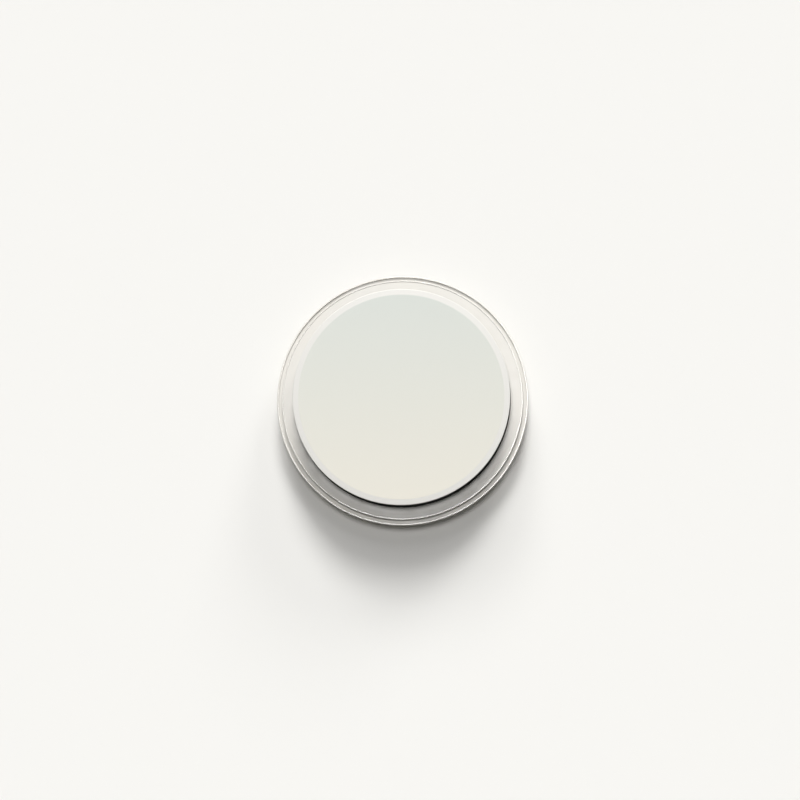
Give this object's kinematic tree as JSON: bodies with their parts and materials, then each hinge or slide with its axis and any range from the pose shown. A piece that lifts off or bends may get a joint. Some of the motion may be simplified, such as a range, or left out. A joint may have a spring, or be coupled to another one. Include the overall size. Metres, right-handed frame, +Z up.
{
  "type": "wet palette",
  "caption": "Closed round wet palette: a dish with a water-soaked sponge and a membrane, a collar that clamps the membrane, and a lid that seals in the collar.",
  "frame": {"origin": "centre of the palette on the ground plane, under the foot pads", "axes": "+Z up along the palette's axis of turning; +X and +Y pass midway between the foot pads"},
  "size_m": [0.13, 0.13, 0.028],
  "materials": {
    "dish_plastic": "fine satin",
    "collar_plastic": "fine satin",
    "lid_plastic": "satin",
    "pan_plastic": "gloss",
    "band_silicone": "matt",
    "seal_silicone": "matt",
    "pad_rubber": "matt",
    "sponge_foam": "open-cell foam",
    "membrane_paper": "matt"
  },
  "bodies": {
    "dish_body": {"dish": "dish_plastic", "foot_pad_1": "pad_rubber", "foot_pad_2": "pad_rubber", "foot_pad_3": "pad_rubber", "foot_pad_4": "pad_rubber", "sponge": "sponge_foam", "membrane": "membrane_paper"},
    "collar_body": {"collar": "collar_plastic", "collar_seal": "seal_silicone"},
    "lid_body": {"lid_cap": "lid_plastic", "lid_pan": "pan_plastic", "lid_gasket": "band_silicone"}
  },
  "joints": [
    {"name": "collar_lift", "type": "slide", "parent": "dish_body", "child": "collar_body", "axis": [0, 0, 1], "range_m": [0, 0.05]},
    {"name": "lid_lift", "type": "slide", "parent": "collar_body", "child": "lid_body", "axis": [0, 0, 1], "range_m": [0, 0.06]}
  ]
}
